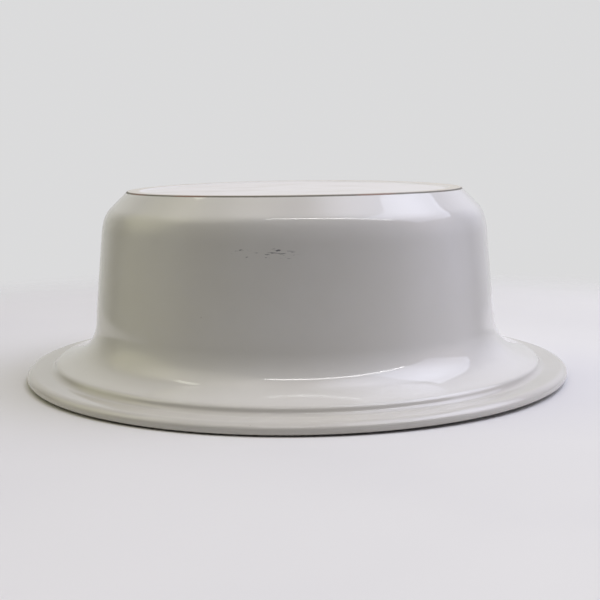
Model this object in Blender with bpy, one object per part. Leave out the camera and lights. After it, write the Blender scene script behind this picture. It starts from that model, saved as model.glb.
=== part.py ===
"""Wide-flanged evaporating dish of glazed porcelain, turned over so that it rests on its rim.

Metres, +Z up. The flat face of the rim is at Z = 0 and the foot is on top. In use the dish is
turned over, so its mouth is at the bottom here. The dish is one fired body with two coats of
glaze: one outside, from the edge of the foot to the lip, and one inside, from the mouth to the
middle of the floor. Every piece is a profile turned about the Z axis.

Profiles are drawn in the plane of radius and height by a pen that moves in straight lines and
arcs. Its heading is in degrees: 0 points away from the axis and 90 points up.
"""

import math

import bmesh
import bpy
from mathutils import Vector

MM = 0.001

# The whole dish.
RIM_RADIUS = 150.0 * MM
HEIGHT = 103.8 * MM
SEGMENTS = 60

# Outside of the lip: softly rounded under, tighter up to its edge and into the top, which falls
# a little outwards.
LIP_UNDER_ROUND = 5.0 * MM
LIP_UNDER_TURN = 45.0
LIP_EDGE_ROUND = 2.0 * MM
LIP_TOP_ROUND = 2.5 * MM
LIP_FALL = 5.0
LIP_INNER_RADIUS = 135.0 * MM

# The step from the lip up to the shelf of the flange.
STEP_SLOPE = 62.0
STEP_FOOT_ROUND = 1.6 * MM
STEP_HEAD_ROUND = 2.2 * MM
STEP_RISE = 1.0 * MM

# The shelf steepens towards the cove, which turns up into the wall.
SHELF_OUTER_SLOPE = 20.0
SHELF_INNER_SLOPE = 28.0
SHELF_ROUND = 102.0 * MM
COVE_ROUND = 14.0 * MM

# The wall leans in by its draft. The shoulder turns in two arcs to the bevel below the foot.
WALL_DRAFT = 5.3
WALL_TOP = 81.6 * MM
SHOULDER_LEAN = 20.0
SHOULDER_LOWER_ROUND = 32.0 * MM
SHOULDER_UPPER_ROUND = 14.0 * MM
BEVEL_LEAN = 45.0

# The foot: a flat ring round a shallow recess, bare of glaze, with a bare edge round it.
BARE_EDGE = 0.6 * MM
FOOT_RING_WIDTH = 7.0 * MM
RECESS_DEPTH = 0.8 * MM
RECESS_SLOPE_WIDTH = 2.0 * MM

# The inside, from the flat face of the rim over the rounded mouth to the floor.
MOUTH_RADIUS = 138.4 * MM
MOUTH_ROUND = 8.0 * MM
MOUTH_SLOPE = 27.0
THROAT_RADIUS = 115.5 * MM
THROAT_ROUND = 20.0 * MM
INNER_WALL_TOP = 76.0 * MM
INNER_CORNER_ROUND = 21.5 * MM

# Each coat of glaze, and the gap that keeps it clear of the body.
COAT = 0.6 * MM
GAP = 0.3 * MM
COAT_LIFT = 0.1 * MM

# How the mesh is made: the facets of an arc, the longest mitre at a corner that is moved into the
# clay, the distance within which points are one, and the angle from which an edge is sharp.
DEGREES_PER_FACET = 20.0
LONGEST_MITRE = 2.0
SAME_POINT = 0.006 * MM
SHARP_ANGLE = 40.0


class Pen:
    """Draws a profile in the plane of radius and height."""

    def __init__(self, radius, height, heading):
        self.points = [Vector((radius, height))]
        self.heading = heading

    def direction(self):
        angle = math.radians(self.heading)
        return Vector((math.cos(angle), math.sin(angle)))

    def straight(self, length):
        self.points.append(self.points[-1] + self.direction() * length)

    def straight_to_radius(self, radius):
        self.straight((radius - self.points[-1].x) / self.direction().x)

    def straight_to_height(self, height):
        self.straight((height - self.points[-1].y) / self.direction().y)

    def bend(self, heading, radius):
        """Turns along an arc to a new heading, left if it is greater and right if it is less."""
        turn = heading - self.heading
        steps = max(1, round(abs(turn) / DEGREES_PER_FACET))
        step = math.radians(turn / steps)
        chord = 2 * radius * math.sin(abs(step) / 2)
        for _ in range(steps):
            middle = math.radians(self.heading) + step / 2
            self.points.append(self.points[-1] + chord * Vector((math.cos(middle), math.sin(middle))))
            self.heading += math.degrees(step)


def outer_surface():
    """The outside of the outer glaze, from under the lip to the bevel's end below the foot."""
    turn = math.radians(LIP_UNDER_TURN)
    overhang = LIP_UNDER_ROUND * math.sin(turn) + LIP_EDGE_ROUND * (1 - math.sin(turn))
    pen = Pen(RIM_RADIUS - overhang, COAT_LIFT, 0)
    pen.bend(LIP_UNDER_TURN, LIP_UNDER_ROUND)
    pen.bend(90, LIP_EDGE_ROUND)
    pen.bend(180 - LIP_FALL, LIP_TOP_ROUND)
    pen.straight_to_radius(LIP_INNER_RADIUS)
    pen.bend(180 - STEP_SLOPE, STEP_FOOT_ROUND)
    pen.straight(STEP_RISE)
    pen.bend(180 - SHELF_OUTER_SLOPE, STEP_HEAD_ROUND)
    pen.bend(180 - SHELF_INNER_SLOPE, SHELF_ROUND)
    pen.bend(90 + WALL_DRAFT, COVE_ROUND)
    pen.straight_to_height(WALL_TOP)
    pen.bend(90 + SHOULDER_LEAN, SHOULDER_LOWER_ROUND)
    pen.bend(90 + BEVEL_LEAN, SHOULDER_UPPER_ROUND)
    pen.straight_to_height(HEIGHT - BARE_EDGE)
    return pen.points


def inner_surface():
    """The inside of the inner glaze, from the flat of the rim to the middle of the floor."""
    pen = Pen(MOUTH_RADIUS, COAT_LIFT, 180)
    pen.bend(180 - MOUTH_SLOPE, MOUTH_ROUND)
    pen.straight_to_radius(THROAT_RADIUS)
    pen.bend(90 + WALL_DRAFT, THROAT_ROUND)
    pen.straight_to_height(INNER_WALL_TOP)
    pen.bend(180, INNER_CORNER_ROUND)
    pen.straight_to_radius(0)
    return pen.points


def beneath(surface, depth, side):
    """The surface moved into the clay by a depth; side is 1 if the clay is on its left, else -1."""
    moved = []
    for i, point in enumerate(surface):
        before = point - surface[i - 1] if i > 0 else surface[1] - point
        after = surface[i + 1] - point if i < len(surface) - 1 else before
        before, after = before.normalized(), after.normalized()
        normal = Vector((-before.y - after.y, before.x + after.x)).normalized() * side
        mitre = 1 / max(1 / LONGEST_MITRE, normal.dot(Vector((-before.y, before.x)) * side))
        moved.append(point + normal * depth * mitre)
    return moved


def coat_profile(surface, side):
    """One coat of glaze: its surface, and its underside drawn back the other way."""
    return surface + beneath(surface, COAT, side)[::-1]


def foot_profile(coat_end, bevel):
    """The bare foot, from the step beside the outer glaze to the middle of the recess."""
    inward = Vector((-bevel.y, bevel.x))
    edge = coat_end + bevel * GAP
    corner = edge + bevel * ((HEIGHT - edge.y) / bevel.y)
    ring_inner = corner.x - FOOT_RING_WIDTH
    return [
        edge + inward * (COAT + GAP),
        edge,
        corner,
        Vector((ring_inner, HEIGHT)),
        Vector((ring_inner - RECESS_SLOPE_WIDTH, HEIGHT - RECESS_DEPTH)),
        Vector((0, HEIGHT - RECESS_DEPTH)),
    ]


def body_profile(outside, inside):
    """The clay: up the outside, over the foot, then down the inside to the flat face of the rim."""
    depth = COAT + GAP
    up_outside = beneath(outside, depth, 1)
    down_inside = beneath(inside, depth, -1)[::-1]
    rim_outer, rim_inner = outside[0].x - GAP, inside[0].x + GAP
    bevel = (outside[-1] - outside[-2]).normalized()
    rim_out = [Vector((rim_outer, 0)), Vector((rim_outer, up_outside[0].y))]
    rim_in = [Vector((rim_inner, down_inside[-1].y)), Vector((rim_inner, 0))]
    foot = foot_profile(outside[-1], bevel)
    return rim_out + up_outside[1:] + foot + down_inside[:-1] + rim_in


def profile_edges(bm, profile):
    """The closed outline of a profile, without the edge that would lie along the axis."""
    verts = [bm.verts.new((point.x, 0, point.y)) for point in profile]
    pairs = zip(verts, verts[1:] + verts[:1])
    return verts, [bm.edges.new(pair) for pair in pairs if max(v.co.x for v in pair) > GAP]


def turned(name, profile, material):
    """One named piece: its profile turned about the Z axis into a closed body."""
    bm = bmesh.new()
    verts, edges = profile_edges(bm, profile)
    bmesh.ops.spin(
        bm, geom=verts + edges, cent=(0, 0, 0), axis=(0, 0, 1), angle=math.tau, steps=SEGMENTS,
        use_merge=True,
    )
    bmesh.ops.remove_doubles(bm, verts=bm.verts[:], dist=SAME_POINT)
    bmesh.ops.recalc_face_normals(bm, faces=bm.faces[:])
    mesh = bpy.data.meshes.new(name)
    bm.to_mesh(mesh)
    bm.free()
    mesh.shade_smooth()
    mesh.set_sharp_from_angle(angle=math.radians(SHARP_ANGLE))
    mesh.materials.append(material)
    piece = bpy.data.objects.new(name, mesh)
    bpy.context.collection.objects.link(piece)
    return piece


def finish(name, colour, roughness):
    material = bpy.data.materials.new(name)
    material.use_nodes = True
    shader = material.node_tree.nodes["Principled BSDF"]
    shader.inputs["Base Color"].default_value = (*colour, 1)
    shader.inputs["Roughness"].default_value = roughness
    shader.inputs["Metallic"].default_value = 0
    return material


def clear_scene():
    for obj in list(bpy.data.objects):
        bpy.data.objects.remove(obj)


def main():
    clear_scene()
    outside, inside = outer_surface(), inner_surface()
    bare_clay = finish("bare_porcelain", (0.82, 0.80, 0.77), 0.6)
    outer_glass = finish("outer_glaze", (0.78, 0.77, 0.73), 0.08)
    inner_glass = finish("inner_glaze", (0.80, 0.79, 0.76), 0.10)
    turned("porcelain_body", body_profile(outside, inside), bare_clay)
    turned("outer_glaze", coat_profile(outside, 1), outer_glass)
    turned("inner_glaze", coat_profile(inside, -1), inner_glass)


main()
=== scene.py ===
"""Looks of the glazed porcelain evaporating dish that rests upside down on its rim.

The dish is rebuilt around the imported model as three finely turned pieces: the bare clay, the outer
glaze and the inner glaze. Each is a profile turned about Z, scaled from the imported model's own
boxes, with the slight warp of a fired pot. Lengths are in metres and Z is up.
"""

import math

import bpy
import numpy as np
from mathutils import Euler, Matrix, Vector


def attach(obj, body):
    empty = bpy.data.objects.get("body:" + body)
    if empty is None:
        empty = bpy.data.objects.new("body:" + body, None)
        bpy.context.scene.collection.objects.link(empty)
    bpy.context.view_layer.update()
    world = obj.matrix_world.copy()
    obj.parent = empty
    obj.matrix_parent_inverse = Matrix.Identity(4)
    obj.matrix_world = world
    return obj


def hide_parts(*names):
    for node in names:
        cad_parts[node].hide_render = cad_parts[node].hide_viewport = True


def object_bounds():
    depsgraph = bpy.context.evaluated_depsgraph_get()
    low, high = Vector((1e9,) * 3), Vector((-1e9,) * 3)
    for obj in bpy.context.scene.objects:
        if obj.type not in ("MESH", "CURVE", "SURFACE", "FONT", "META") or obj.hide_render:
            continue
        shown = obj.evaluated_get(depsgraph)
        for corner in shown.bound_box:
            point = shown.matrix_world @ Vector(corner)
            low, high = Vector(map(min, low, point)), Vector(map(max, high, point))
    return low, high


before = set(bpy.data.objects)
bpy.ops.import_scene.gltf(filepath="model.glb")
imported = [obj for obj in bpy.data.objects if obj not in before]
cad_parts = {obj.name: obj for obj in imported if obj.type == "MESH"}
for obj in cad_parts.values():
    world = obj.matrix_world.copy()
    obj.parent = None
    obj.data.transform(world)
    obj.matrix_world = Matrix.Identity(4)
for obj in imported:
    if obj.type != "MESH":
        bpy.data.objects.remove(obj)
cad_low, cad_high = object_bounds()

MM = 0.001

# The dish as it is drawn here, its facets round the axis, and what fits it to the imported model.
DESIGN_RADIUS = 150.0 * MM
DESIGN_HEIGHT = 103.8 * MM
SEGMENTS = 240
RADIAL_SCALE = (cad_high.x - cad_low.x) / 2 / DESIGN_RADIUS
HEIGHT_SCALE = (cad_high.z - cad_low.z) / DESIGN_HEIGHT

# How finely profiles are stepped, where they show and where they are hidden, and the radius below
# which a point lies on the axis.
FINE_STEP = 1.2 * MM
FINE_DEGREES = 9.0
HIDDEN_EVERY = 5
AXIS_RADIUS = 0.001 * MM

# A coat of glaze: its thickness, its gap to the clay, its lift off the bench at the rim, the
# rounded bead that the outer coat ends in, and the clay that stays bare beside that end.
COAT = 0.45 * MM
SEAT = 0.05 * MM
COAT_LIFT = 0.1 * MM
BEAD_ROUND = 0.25 * MM
BEAD_TURN = 80
BARE_EDGE = 0.6 * MM

# Headings and angles of profiles are in degrees: 0 points away from the axis and 90 points up.

# Outside of the lip: its underside rises a little to a nearly upright face with a rounded top.
CONTACT_RADIUS = 145.6 * MM
UNDERSIDE_HEADING = 14
UNDERSIDE_ROUND = 10 * MM
UNDERSIDE_WIDTH = 1.0 * MM
LIP_CORNER_ROUND = 1.3 * MM
FACE_FOOT_HEADING = 88
FACE_HEAD_HEADING = 95
FACE_ROUND = 8 * MM
LIP_EDGE_HEADING = 130
LIP_EDGE_ROUND = 2.4 * MM
LIP_TOP_ROUND = 5.0 * MM
LIP_INNER_RADIUS = 138.4 * MM

# The step from the lip up to the shelf, the shelf, and the cove that turns up into the wall.
STEP_HEADING = 112
STEP_FOOT_ROUND = 4.0 * MM
STEP_HEAD_ROUND = 3.4 * MM
SHELF_OUTER_HEADING = 162
SHELF_INNER_HEADING = 153
SHELF_ROUND = 72.2 * MM
COVE_ROUND = 20 * MM

# The wall leans in. The shoulder turns in two arcs to the bevel below the foot.
WALL_HEADING = 95.3
WALL_TOP = 81.6 * MM
SHOULDER_HEADING = 110
SHOULDER_LOWER_ROUND = 32 * MM
SHOULDER_UPPER_ROUND = 14 * MM
BEVEL_HEADING = 135

# The foot: a rounded corner, the flat ring that the dish stands on in use, and the recess. The
# clay's edge lies a little deeper than the glaze beside it.
FOOT_CORNER_ROUND = 0.6 * MM
FOOT_EDGE_INSET = 0.10 * MM
FOOT_RING_WIDTH = 6.5 * MM
RECESS_HEADING = 202
RECESS_ROUND = 1.5 * MM
RECESS_DEPTH = 0.6 * MM

# The inside, from the flat face of the rim over the rounded mouth to the floor.
MOUTH_RADIUS = 138.4 * MM
MOUTH_HEADING = 153
MOUTH_ROUND = 8 * MM
THROAT_RADIUS = 115.5 * MM
THROAT_ROUND = 20 * MM
INNER_WALL_TOP = 76 * MM
INNER_CORNER_ROUND = 21.5 * MM

# The warp of the fired dish: the bowl stands off centre above the flange, the foot is tilted,
# saddled and leans, and the lip is lifted on two opposite sides and tilted slightly. The lip's
# warp starts at LIP_SHARE of the radius and fades out at LIP_HEIGHT_SHARE of the height.
BOWL_SHIFT = -1.1 * MM
SHIFT_START, SHIFT_END = 9.0 * MM, 39.0 * MM
FOOT_TILT = 0.0065
FOOT_SADDLE = -0.35 * MM
FOOT_LEAN = 0.15 * MM
LIP_SADDLE = 0.8 * MM
LIP_SADDLE_AT = math.radians(-12)
LIP_TILT = 0.10 * MM
LIP_LOWEST = 0.05 * MM
LIP_SHARE = 0.75
LIP_HEIGHT_SHARE = 0.25
FOOT_SADDLE_RADIUS = 90 * MM

# The wobble of its radius: waves, each with its height, how many go round the dish, its twist in
# radians per metre of height, and its phase.
WAVES = ((0.05 * MM, 3, 40, 0.7), (0.03 * MM, 7, -60, 2.1))


# ---------------------------------------------------------------- profiles


class Pen:
    """Draws a profile in the plane of radius and height, in short steps."""

    def __init__(self, radius, height, heading):
        self.points = [np.array((radius, height))]
        self.heading = heading

    def direction(self):
        angle = math.radians(self.heading)
        return np.array((math.cos(angle), math.sin(angle)))

    def straight(self, length):
        start, steps = self.points[-1], max(1, math.ceil(length / FINE_STEP))
        for i in range(1, steps + 1):
            self.points.append(start + self.direction() * length * i / steps)

    def straight_to_radius(self, radius):
        self.straight((radius - self.points[-1][0]) / self.direction()[0])

    def straight_to_height(self, height):
        self.straight((height - self.points[-1][1]) / self.direction()[1])

    def bend(self, heading, radius):
        """Turns along an arc to a new heading, left if it is greater and right if it is less."""
        turn = heading - self.heading
        arc = math.radians(abs(turn)) * radius
        steps = max(2, math.ceil(abs(turn) / FINE_DEGREES), math.ceil(arc / FINE_STEP))
        step = math.radians(turn / steps)
        chord = 2 * radius * math.sin(abs(step) / 2)
        for _ in range(steps):
            middle = math.radians(self.heading) + step / 2
            self.points.append(self.points[-1] + chord * np.array((math.cos(middle), math.sin(middle))))
            self.heading += math.degrees(step)


def outer_surface():
    """The outside of the outer glaze, from under the lip to where it ends below the foot."""
    pen = Pen(CONTACT_RADIUS, COAT_LIFT, 0)
    pen.bend(UNDERSIDE_HEADING, UNDERSIDE_ROUND)
    pen.straight(UNDERSIDE_WIDTH)
    pen.bend(FACE_FOOT_HEADING, LIP_CORNER_ROUND)
    pen.bend(FACE_HEAD_HEADING, FACE_ROUND)
    pen.bend(LIP_EDGE_HEADING, LIP_EDGE_ROUND)
    pen.bend(180, LIP_TOP_ROUND)
    pen.straight_to_radius(LIP_INNER_RADIUS)
    pen.bend(STEP_HEADING, STEP_FOOT_ROUND)
    pen.bend(SHELF_OUTER_HEADING, STEP_HEAD_ROUND)
    pen.bend(SHELF_INNER_HEADING, SHELF_ROUND)
    pen.bend(WALL_HEADING, COVE_ROUND)
    pen.straight_to_height(WALL_TOP)
    pen.bend(SHOULDER_HEADING, SHOULDER_LOWER_ROUND)
    pen.bend(BEVEL_HEADING, SHOULDER_UPPER_ROUND)
    pen.straight_to_height(DESIGN_HEIGHT - BARE_EDGE - BEAD_ROUND)
    return pen


def inner_surface():
    """The inside of the inner glaze, from the flat of the rim to the middle of the floor."""
    pen = Pen(MOUTH_RADIUS, COAT_LIFT, 180)
    pen.bend(MOUTH_HEADING, MOUTH_ROUND)
    pen.straight_to_radius(THROAT_RADIUS)
    pen.bend(WALL_HEADING, THROAT_ROUND)
    pen.straight_to_height(INNER_WALL_TOP)
    pen.bend(180, INNER_CORNER_ROUND)
    pen.straight_to_radius(0.0)
    return pen


def unit(vectors):
    return vectors / np.linalg.norm(vectors, axis=1)[:, None]


def beneath(surface, depth, side):
    """The surface moved into the clay by a depth; side is 1 if the clay is on its left, else -1."""
    surface = np.array(surface)
    before = np.diff(surface, axis=0, prepend=surface[:1])
    before[0] = surface[1] - surface[0]
    after = np.diff(surface, axis=0, append=surface[-1:])
    after[-1] = before[-1]
    along = unit(before) + unit(after)
    return surface + depth * side * unit(np.stack((-along[:, 1], along[:, 0]), axis=1))


def thinned(points):
    """A hidden run of a profile with most of its points left out."""
    kept = list(range(0, len(points), HIDDEN_EVERY))
    if kept[-1] != len(points) - 1:
        kept.append(len(points) - 1)
    return points[kept]


def inner_coat_profile():
    """The inner glaze: its surface, and its underside drawn back the other way."""
    surface = np.array(inner_surface().points)
    under = beneath(surface, COAT, -1)
    return np.concatenate((surface, thinned(under)[::-1]))[::-1]


def outer_coat_profile():
    """The outer glaze: its surface, the bead it ends in, and its underside drawn back."""
    pen = outer_surface()
    under = beneath(pen.points, COAT, 1)
    pen.bend(pen.heading + BEAD_TURN, BEAD_ROUND)
    return np.concatenate((np.array(pen.points), thinned(under)[::-1]))


def foot_profile(corner_radius):
    """The bare foot: its stained edge, the flat ring it stands on and the shallow recess."""
    pen = Pen(corner_radius, DESIGN_HEIGHT, BEVEL_HEADING)
    pen.bend(180, FOOT_CORNER_ROUND)
    top = pen.points[-1][1]
    pen.straight_to_radius(corner_radius - FOOT_RING_WIDTH)
    pen.bend(RECESS_HEADING, RECESS_ROUND)
    pen.straight_to_height(top - RECESS_DEPTH)
    pen.bend(180, RECESS_ROUND)
    pen.straight_to_radius(0.0)
    points = np.array(pen.points)
    points[:, 1] += DESIGN_HEIGHT - top
    return points


def body_profile():
    """The clay: up the outside, over the foot, then down the inside to the flat of the rim."""
    outside, inside = outer_surface(), inner_surface()
    depth = COAT + SEAT
    end, bevel = outside.points[-1], outside.direction()
    up = beneath(outside.points, depth, 1)
    down = beneath(inside.points, depth, -1)[::-1]
    inward = np.array((-bevel[1], bevel[0]))
    edge_start = end + bevel * BEAD_ROUND + inward * FOOT_EDGE_INSET
    foot = foot_profile(edge_start[0] - BARE_EDGE)
    edge = np.array([edge_start + (foot[0] - edge_start) * t for t in (0, 0.25, 0.5, 0.75)])
    rim_out, rim_in = up[0][0], down[-1][0]
    flat = [np.array((rim_in + (rim_out - rim_in) * t, 0.0)) for t in np.linspace(0, 1, 8)]
    return np.concatenate((thinned(up), edge, foot, thinned(down[1:]), flat))


# ---------------------------------------------------------------- turning and warp


def smooth(t):
    t = np.clip(t, 0, 1)
    return t * t * (3 - 2 * t)


def warped(points):
    """Points of the drawn dish moved to where the kiln left them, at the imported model's scale."""
    x, y, z = points.T.copy()
    radius, around = np.hypot(x, y), np.arctan2(y, x)
    share = z / DESIGN_HEIGHT
    outward = (radius / DESIGN_RADIUS - LIP_SHARE) / (1 - LIP_SHARE)
    lip = smooth(outward) * (1 - smooth(share / LIP_HEIGHT_SHARE))
    z += FOOT_TILT * x * share**2
    z += FOOT_SADDLE * share**2 * np.cos(2 * around) * np.minimum(radius / FOOT_SADDLE_RADIUS, 1)
    rise = LIP_SADDLE * (1 + np.cos(2 * (around - LIP_SADDLE_AT))) + LIP_TILT * (1 + np.cos(around))
    z += (rise - LIP_LOWEST) * lip
    wobble = np.zeros_like(z)
    for size, count, twist, phase in WAVES:
        wobble += size * np.sin(count * around + twist * z + phase)
    x += BOWL_SHIFT * smooth((z - SHIFT_START) / (SHIFT_END - SHIFT_START))
    x += FOOT_LEAN * share**4
    x += wobble * np.cos(around)
    y += wobble * np.sin(around)
    return np.stack((x * RADIAL_SCALE, y * RADIAL_SCALE, z * HEIGHT_SCALE), axis=1)


def turned(name, profile):
    """A closed mesh: the profile turned about Z, with its points on the axis as single points."""
    angles = np.arange(SEGMENTS) * math.tau / SEGMENTS
    circle = np.stack((np.cos(angles), np.sin(angles)), axis=1)
    points, rings = [], []
    for radius, height in profile:
        on_axis = radius < AXIS_RADIUS
        count = 1 if on_axis else SEGMENTS
        rings.append(list(range(len(points), len(points) + count)))
        points += [(radius * c, radius * s, height) for c, s in circle[:count]]
    faces = []
    for near, far in zip(rings, rings[1:] + rings[:1]):
        faces += ring_faces(near, far)
    mesh = bpy.data.meshes.new(name)
    mesh.from_pydata(warped(np.array(points)).tolist(), [], faces)
    mesh.validate()
    mesh.shade_smooth()
    piece = bpy.data.objects.new(name, mesh)
    bpy.context.collection.objects.link(piece)
    return piece


def ring_faces(near, far):
    """The faces between two neighbouring rings, facing out for a profile drawn anticlockwise."""
    if len(near) == 1 and len(far) == 1:
        return []
    faces = []
    for i in range(SEGMENTS):
        j = (i + 1) % SEGMENTS
        if len(near) == 1:
            faces.append((near[0], far[j], far[i]))
        elif len(far) == 1:
            faces.append((near[i], near[j], far[0]))
        else:
            faces.append((near[i], near[j], far[j], far[i]))
    return faces


# ---------------------------------------------------------------- materials


class Shading:
    """Builds one node material around its Principled shader."""

    def __init__(self, name):
        self.material = bpy.data.materials.new(name)
        self.material.use_nodes = True
        self.tree = self.material.node_tree
        self.shader = self.tree.nodes["Principled BSDF"]
        self.place = self.add("ShaderNodeTexCoord").outputs["Object"]

    def add(self, kind, **settings):
        node = self.tree.nodes.new(kind)
        for key, value in settings.items():
            setattr(node, key, value)
        return node

    def feed(self, socket, value):
        if isinstance(value, bpy.types.NodeSocket):
            self.tree.links.new(value, socket)
        else:
            socket.default_value = value

    def math(self, operation, first, second=0.0):
        node = self.add("ShaderNodeMath", operation=operation)
        for socket, value in zip(node.inputs, (first, second)):
            self.feed(socket, value)
        return node.outputs[0]

    def stretched(self, scale, offset):
        node = self.add("ShaderNodeMapping")
        self.feed(node.inputs["Vector"], self.place)
        node.inputs["Scale"].default_value = scale
        node.inputs["Location"].default_value = offset
        return node.outputs[0]

    def noise(self, scale, detail, roughness=0.5, place=None, distortion=0.0):
        node = self.add("ShaderNodeTexNoise")
        self.feed(node.inputs["Vector"], place or self.place)
        self.feed(node.inputs["Scale"], scale)
        self.feed(node.inputs["Detail"], detail)
        self.feed(node.inputs["Roughness"], roughness)
        self.feed(node.inputs["Distortion"], distortion)
        return node.outputs["Fac"]

    def span(self, value, low, high, out_low=0.0, out_high=1.0):
        """A value mapped smoothly from one span to another and held at its ends."""
        node = self.add("ShaderNodeMapRange", interpolation_type="SMOOTHSTEP")
        for socket, number in zip(node.inputs, (value, low, high, out_low, out_high)):
            self.feed(socket, number)
        return node.outputs[0]

    def blend(self, factor, first, second, kind="MIX"):
        node = self.add("ShaderNodeMix", data_type="RGBA", blend_type=kind)
        self.feed(node.inputs[0], factor)
        self.feed(node.inputs[6], (*first, 1) if isinstance(first, tuple) else first)
        self.feed(node.inputs[7], (*second, 1) if isinstance(second, tuple) else second)
        return node.outputs[2]

    def bump(self, height, distance, strength, normal=None):
        node = self.add("ShaderNodeBump")
        self.feed(node.inputs["Height"], height)
        node.inputs["Distance"].default_value = distance
        node.inputs["Strength"].default_value = strength
        if normal is not None:
            self.feed(node.inputs["Normal"], normal)
        return node.outputs[0]

    def set(self, **values):
        for key, value in values.items():
            self.feed(self.shader.inputs[key.replace("_", " ")], value)


# The glaze: its colours, the painted shade that darkens the lip's colour near the bench and the
# heights between which it fades out, its gloss, and its pinholes. Those lie in a pattern's cells:
# how many cells a metre has, the share of them that hold a pinhole, and the radii of the pinholes
# in cells.
OUTER_TINT = (0.76, 0.75, 0.715)
INNER_TINT = (0.81, 0.80, 0.765)
CLOUD_SHADE = (0.97, 0.965, 0.95)
MOTTLE_SHADE = 0.965
# Painted shade: the colour that the lip's glaze is multiplied by near the bench.
LIP_PAINTED_SHADE = (0.83, 0.82, 0.80)
LIP_PAINTED_SHADE_HEIGHTS = (8 * MM, 12 * MM)
GLAZE_ROUGHNESS = (0.03, 0.08)
GLAZE_IOR = 1.52
PINHOLE_CELLS = 240
PINHOLE_SHARE = 0.03
PINHOLE_SIZES = (0.02, 0.06)
PINHOLE_COLOUR = (0.30, 0.25, 0.19)

# The cluster of scuffs on the front of the wall: its middle, how much flatter it is than wide,
# where it starts to thin out and ends, and its streaks' cells per metre and offset.
SCUFF_PLACE = (-0.016, -0.100, 0.077)
SCUFF_FLATNESS = 4.5
SCUFF_REACH = (12 * MM, 20 * MM)
SCUFF_CELLS = (170, 170, 900)
SCUFF_OFFSET = (3.1, 1.7, 0.4)
SCUFF_COLOUR = (0.10, 0.10, 0.11)
SCUFF_ROUGHNESS = 0.35

# The bare clay: plain, stained, in its grains, worn on the ring, and on its edge without and
# with rust.
CLAY_COLOUR = (0.80, 0.785, 0.765)
STAINED_COLOUR = (0.74, 0.72, 0.685)
GRAIN_COLOUR = (0.55, 0.52, 0.47)
WORN_COLOUR = (0.60, 0.56, 0.46)
EDGE_COLOUR = (0.14, 0.13, 0.095)
RUST_COLOUR = (0.24, 0.12, 0.07)
CLAY_ROUGHNESS = (0.42, 0.62)

# How far inside the glaze's end the worn ring and the stained edge start to show and are full, and
# how far below the foot both do. The strengths are shares of each colour where it is full.
WORN_INSET = (8 * MM, 6.5 * MM)
EDGE_INSET = (1.3 * MM, 0.9 * MM)
FOOT_DEPTH = (4 * MM, 2 * MM)
WORN_STRENGTH = 0.6
EDGE_STRENGTH = 0.92
TURNING_LINES = 180


def pinholes(look):
    """Round specks: 1 in the middle of a few cells of a fine pattern, 0 elsewhere."""
    cells = look.add("ShaderNodeTexVoronoi")
    look.feed(cells.inputs["Vector"], look.place)
    cells.inputs["Scale"].default_value = PINHOLE_CELLS
    pick = look.add("ShaderNodeSeparateColor")
    look.feed(pick.inputs[0], cells.outputs["Color"])
    chosen = look.math("LESS_THAN", pick.outputs[0], PINHOLE_SHARE)
    size = look.span(pick.outputs[1], 0, 1, *PINHOLE_SIZES)
    spot = look.math("LESS_THAN", cells.outputs["Distance"], size)
    return look.math("MULTIPLY", chosen, spot)


def glaze_material(name, tint, scuff_centre=None):
    """Glossy glaze, faintly clouded and mottled, with pinholes, slow waves and painted shade on the
    lip.
    """
    look = Shading(name)
    clouded = tuple(c * f for c, f in zip(tint, CLOUD_SHADE))
    mottled = tuple(c * MOTTLE_SHADE for c in tint)
    pale = look.blend(look.span(look.noise(14, 3, 0.55), 0.35, 0.65), tint, clouded)
    pale = look.blend(look.span(look.noise(90, 2, 0.5), 0.55, 0.8, 0, 0.5), pale, mottled)
    holes = pinholes(look)
    pale = look.blend(look.math("MULTIPLY", holes, 0.55), pale, PINHOLE_COLOUR)
    place = look.add("ShaderNodeSeparateXYZ")
    look.feed(place.inputs[0], look.place)
    # Painted shade: the lip's colour is darkened near the bench and fades out between the two heights.
    lip = look.span(place.outputs[2], *LIP_PAINTED_SHADE_HEIGHTS, 1, 0)
    pale = look.blend(lip, pale, LIP_PAINTED_SHADE, "MULTIPLY")
    rough = look.span(look.noise(35, 4, 0.6), 0.3, 0.75, *GLAZE_ROUGHNESS)
    if scuff_centre is not None:
        marks = scuffs(look, scuff_centre)
        pale = look.blend(marks, pale, SCUFF_COLOUR)
        rough = look.math("MAXIMUM", rough, look.math("MULTIPLY", marks, SCUFF_ROUGHNESS))
    waves = look.bump(look.noise(55, 1.5, 0.4), 0.25 * MM, 0.25)
    peel = look.bump(look.noise(420, 2, 0.5), 0.012 * MM, 0.6, waves)
    pits = look.bump(holes, -0.08 * MM, 0.8, peel)
    look.set(Base_Color=pale, Roughness=rough, Normal=pits, IOR=GLAZE_IOR)
    return look.material


def scuffs(look, centre):
    """Short dark grey marks that metal left on the glaze, in one loose cluster."""
    streaks = look.noise(1.0, 3, 0.6, look.stretched(SCUFF_CELLS, SCUFF_OFFSET), 0.6)
    thin = look.span(streaks, 0.62, 0.70)
    offset = look.add("ShaderNodeVectorMath", operation="SUBTRACT")
    look.feed(offset.inputs[0], look.place)
    offset.inputs[1].default_value = centre
    shaped = look.add("ShaderNodeVectorMath", operation="MULTIPLY")
    look.feed(shaped.inputs[0], offset.outputs[0])
    shaped.inputs[1].default_value = (1.0, 1.0, SCUFF_FLATNESS)
    far = look.add("ShaderNodeVectorMath", operation="LENGTH")
    look.feed(far.inputs[0], shaped.outputs[0])
    near = look.span(far.outputs["Value"], *SCUFF_REACH, 1, 0)
    return look.math("MULTIPLY", thin, near)


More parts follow.
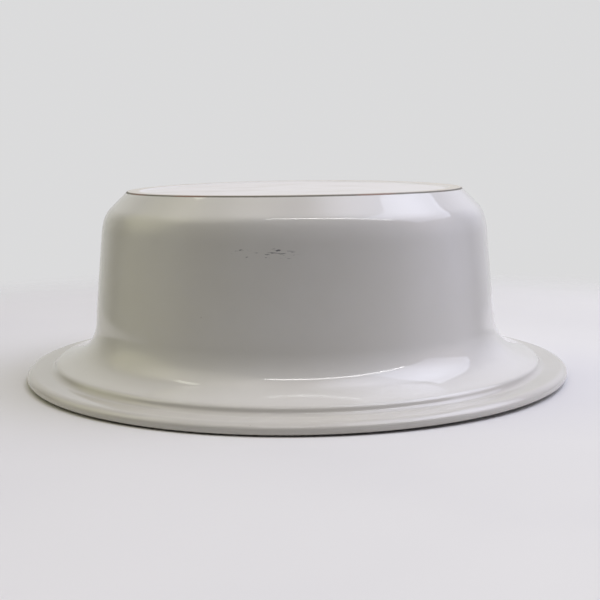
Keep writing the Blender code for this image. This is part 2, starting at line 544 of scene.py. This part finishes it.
def clay_material(name, foot_height, foot_radius):
    """Matt bare clay with turning lines, worn on its ring and stained where the glaze stops."""
    look = Shading(name)
    place = look.add("ShaderNodeSeparateXYZ")
    look.feed(place.inputs[0], look.place)
    across = look.math("SUBTRACT", place.outputs[0], BOWL_SHIFT + FOOT_LEAN)
    squares = look.math("POWER", across, 2), look.math("POWER", place.outputs[1], 2)
    ring = look.math("SQRT", look.math("ADD", *squares))
    high = look.span(place.outputs[2], *(foot_height - depth for depth in FOOT_DEPTH))
    grain = look.noise(1500, 3, 0.6)
    stain = look.noise(30, 4, 0.6)
    pale = look.blend(look.span(stain, 0.4, 0.75), CLAY_COLOUR, STAINED_COLOUR)
    pale = look.blend(look.span(grain, 0.62, 0.8, 0, 0.35), pale, GRAIN_COLOUR)
    on_ring = look.span(ring, *(foot_radius - inset for inset in WORN_INSET))
    worn = look.math("MULTIPLY", look.math("MULTIPLY", on_ring, high), WORN_STRENGTH)
    pale = look.blend(worn, pale, WORN_COLOUR)
    at_edge = look.span(ring, *(foot_radius - inset for inset in EDGE_INSET))
    rusty = look.span(look.noise(26, 2, 0.6), 0.52, 0.66)
    edge = look.math("MULTIPLY", look.math("MULTIPLY", at_edge, high), EDGE_STRENGTH)
    colour = look.blend(edge, pale, look.blend(rusty, EDGE_COLOUR, RUST_COLOUR))
    turning = look.add("ShaderNodeTexWave", wave_type="RINGS", rings_direction="Z")
    look.feed(turning.inputs["Vector"], look.place)
    turning.inputs["Scale"].default_value = TURNING_LINES
    turning.inputs["Distortion"].default_value = 1.5
    lines = look.bump(turning.outputs["Fac"], 0.03 * MM, 0.5)
    rough = look.span(stain, 0.3, 0.8, *CLAY_ROUGHNESS)
    look.set(Base_Color=colour, Roughness=rough, Normal=look.bump(grain, 0.03 * MM, 0.6, lines))
    return look.material


# ---------------------------------------------------------------- the dish


def dress(piece, material, node):
    """Gives a piece its material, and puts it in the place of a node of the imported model."""
    piece.data.materials.append(material)
    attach(piece, "root")
    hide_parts(node)


def make_dish():
    clay = turned("dish_clay", body_profile())
    outer = turned("dish_outer_glaze", outer_coat_profile())
    inner = turned("dish_inner_glaze", inner_coat_profile())
    foot_radius = outer_surface().points[-1][0] * RADIAL_SCALE
    foot = clay_material("bare_clay", cad_high.z, foot_radius)
    dress(clay, foot, "porcelain_body")
    outside = glaze_material("white_glaze", OUTER_TINT, SCUFF_PLACE)
    dress(outer, outside, "outer_glaze")
    inside = glaze_material("white_glaze_inside", INNER_TINT)
    dress(inner, inside, "inner_glaze")


# ---------------------------------------------------------------- floor, light and camera


# The floor: a disc, the radii where it starts to fade and is gone, and how far it lies below the
# dish, so that the two don't touch.
FLOOR_RADIUS = 0.62
FLOOR_RINGS = 60
FLOOR_SEGMENTS = 96
FLOOR_FADE = (0.34, 0.52)
FLOOR_DROP = 0.1 * MM
FLOOR_TONES = ((0.75, 0.745, 0.74), (0.73, 0.725, 0.725))


def disc(name):
    """A flat disc of rings of faces round its middle."""
    points, faces = [(0, 0, 0)], []
    for ring in range(1, FLOOR_RINGS + 1):
        radius = FLOOR_RADIUS * ring / FLOOR_RINGS
        for s in range(FLOOR_SEGMENTS):
            angle = math.tau * s / FLOOR_SEGMENTS
            points.append((radius * math.cos(angle), radius * math.sin(angle), 0))
    for s in range(FLOOR_SEGMENTS):
        faces.append((0, 1 + s, 1 + (s + 1) % FLOOR_SEGMENTS))
    for ring in range(FLOOR_RINGS - 1):
        start = 1 + ring * FLOOR_SEGMENTS
        for s in range(FLOOR_SEGMENTS):
            here, there = start + s, start + (s + 1) % FLOOR_SEGMENTS
            faces.append((here, here + FLOOR_SEGMENTS, there + FLOOR_SEGMENTS, there))
    mesh = bpy.data.meshes.new(name)
    mesh.from_pydata(points, [], faces)
    return mesh


def make_floor():
    """A pale disc that melts into the pale background at its edge."""
    mesh = disc("floor")
    floor = bpy.data.objects.new("floor", mesh)
    bpy.context.collection.objects.link(floor)
    floor.location.z = cad_low.z - FLOOR_DROP
    look = Shading("pale_floor")
    distance = look.add("ShaderNodeVectorMath", operation="LENGTH")
    look.feed(distance.inputs[0], look.place)
    fade = look.span(distance.outputs["Value"], *FLOOR_FADE)
    weave = look.noise(700, 3, 0.6)
    tone = look.blend(look.span(look.noise(5, 3), 0.35, 0.65), *FLOOR_TONES)
    look.set(Base_Color=tone, Roughness=0.9, Normal=look.bump(weave, 0.05 * MM, 0.3))
    look.set(Specular_IOR_Level=0.1, Alpha=look.math("SUBTRACT", 1.0, fade))
    mesh.materials.append(look.material)


# The room round the dish: soft round patches of light. Each has the azimuth from +X and the
# elevation of its middle, the angles from there at which it starts to fade and is gone, and its
# colour times its strength.
ROOM = {
    "high_right": ((10, 60), (5, 30), (2.3, 2.35, 2.8)),
    "mid_right": ((0, 33), (5, 30), (0.4, 0.3, 0.3)),
    "mid_back": ((50, 28), (5, 30), (0.2, 0.2, 0.3)),
    "zenith": ((0, 88), (5, 30), (1.0, 0.9, 0.85)),
    "high_left": ((180, 60), (5, 30), (1.0, 0.95, 0.8)),
    "mid_left": ((165, 33), (5, 30), (0.95, 0.92, 0.6)),
    "low_right": ((0, 5), (10, 35), (0.4, 0.4, 0.5)),
    "low_back": ((90, 8), (25, 60), (0.65, 0.65, 0.65)),
    "low_left": ((180, 5), (10, 35), (0.25, 0.25, 0.15)),
}

# The light that comes from away from every patch, such as from the front.
DARK = (0.0, 0.0, 0.0)

# The ground that the camera sees behind the dish.
BACKGROUND = (0.71, 0.71, 0.715)

# Flat lamps that face straight down, LAMP_HEIGHT above the dish's foot: where each starts and ends
# in X and in Y, and its colour times its strength. LAMP_WATTS is what a square metre of strength 1
# takes.
LAMP_HEIGHT = 1.0
LAMP_WATTS = 4.0
LAMPS = {
    "window": ((0.60, 2.10), (-0.40, 0.90), (1.2, 1.25, 1.5)),
    "strip": ((-0.24, 1.15), (-0.475, -0.425), (9.0, 9.0, 9.0)),
    "side_lamp": ((-0.70, -0.50), (0.22, 0.36), (2.0, 2.0, 1.7)),
}


def towards(azimuth, elevation):
    """The direction at an azimuth from +X and an elevation, both in degrees."""
    a, e = math.radians(azimuth), math.radians(elevation)
    return Vector((math.cos(a) * math.cos(e), math.sin(a) * math.cos(e), math.sin(e)))


class Sky:
    """Builds the world's nodes."""

    def __init__(self, world):
        world.use_nodes = True
        self.tree = world.node_tree
        self.tree.nodes.clear()
        self.direction = self.add("ShaderNodeTexCoord").outputs["Generated"]

    def add(self, kind, *values, **settings):
        node = self.tree.nodes.new(kind)
        for key, value in settings.items():
            setattr(node, key, value)
        for socket, value in zip(node.inputs, values):
            if isinstance(value, bpy.types.NodeSocket):
                self.tree.links.new(value, socket)
            else:
                socket.default_value = value
        return node

    def fade(self, value, low, high):
        node = self.add("ShaderNodeMapRange", value, low, high, interpolation_type="SMOOTHSTEP")
        return node.outputs[0]

    def patch(self, middle, fades, colour):
        """One patch: its colour where a ray points at its middle, fading to nothing round it."""
        axis = tuple(towards(*middle))
        along = self.add("ShaderNodeVectorMath", self.direction, axis, operation="DOT_PRODUCT")
        near, far = (math.cos(math.radians(angle)) for angle in fades)
        share = self.fade(along.outputs["Value"], far, near)
        return self.add("ShaderNodeVectorMath", share, colour, operation="MULTIPLY").outputs[0]


def make_world():
    """A pale ground for the camera, and a room with a dark front for light and reflections."""
    world = bpy.data.worlds.new("studio")
    bpy.context.scene.world = world
    sky = Sky(world)
    total = DARK
    for middle, fades, colour in ROOM.values():
        patch = sky.patch(middle, fades, colour)
        total = sky.add("ShaderNodeVectorMath", total, patch).outputs[0]
    room = sky.add("ShaderNodeBackground", total)
    ground = sky.add("ShaderNodeBackground", (*BACKGROUND, 1))
    seen = sky.add("ShaderNodeLightPath").outputs["Is Camera Ray"]
    mix = sky.add("ShaderNodeMixShader", seen, room.outputs[0], ground.outputs[0])
    sky.add("ShaderNodeOutputWorld", mix.outputs[0])


def make_lamp(name, span_x, span_y, colour):
    """A flat rectangular lamp that faces down."""
    light = bpy.data.lights.new(name, "AREA")
    light.shape = "RECTANGLE"
    light.size, light.size_y = span_x[1] - span_x[0], span_y[1] - span_y[0]
    strength = max(colour)
    light.energy = LAMP_WATTS * strength * light.size * light.size_y
    light.color = tuple(c / strength for c in colour)
    lamp = bpy.data.objects.new(name, light)
    bpy.context.collection.objects.link(lamp)
    lamp.location = (sum(span_x) / 2, sum(span_y) / 2, cad_high.z + LAMP_HEIGHT)
    lamp.visible_camera = False


def make_lights():
    for name, (span_x, span_y, colour) in LAMPS.items():
        make_lamp(name, span_x, span_y, colour)


# The camera: in front of the dish and slightly above it. How far it is turned down from level, and
# its roll, are in radians.
CAMERA_PLACE = (0.0018, -0.6543, 0.1330)
CAMERA_DOWN = 0.1407
CAMERA_ROLL = -0.007
LENS_MM = 70.1
SENSOR_MM = 36.0


def make_camera():
    camera = bpy.data.cameras.new("camera")
    camera.lens, camera.sensor_width = LENS_MM, SENSOR_MM
    holder = bpy.data.objects.new("camera", camera)
    bpy.context.collection.objects.link(holder)
    level = math.radians(90)
    turn = Euler((level - CAMERA_DOWN, 0, 0)).to_matrix() @ Matrix.Rotation(CAMERA_ROLL, 3, "Z")
    holder.matrix_world = Matrix.Translation(CAMERA_PLACE) @ turn.to_4x4()
    bpy.context.scene.camera = holder


bpy.context.scene.view_settings.view_transform = "Standard"
make_camera()
make_dish()
make_floor()
make_world()
make_lights()
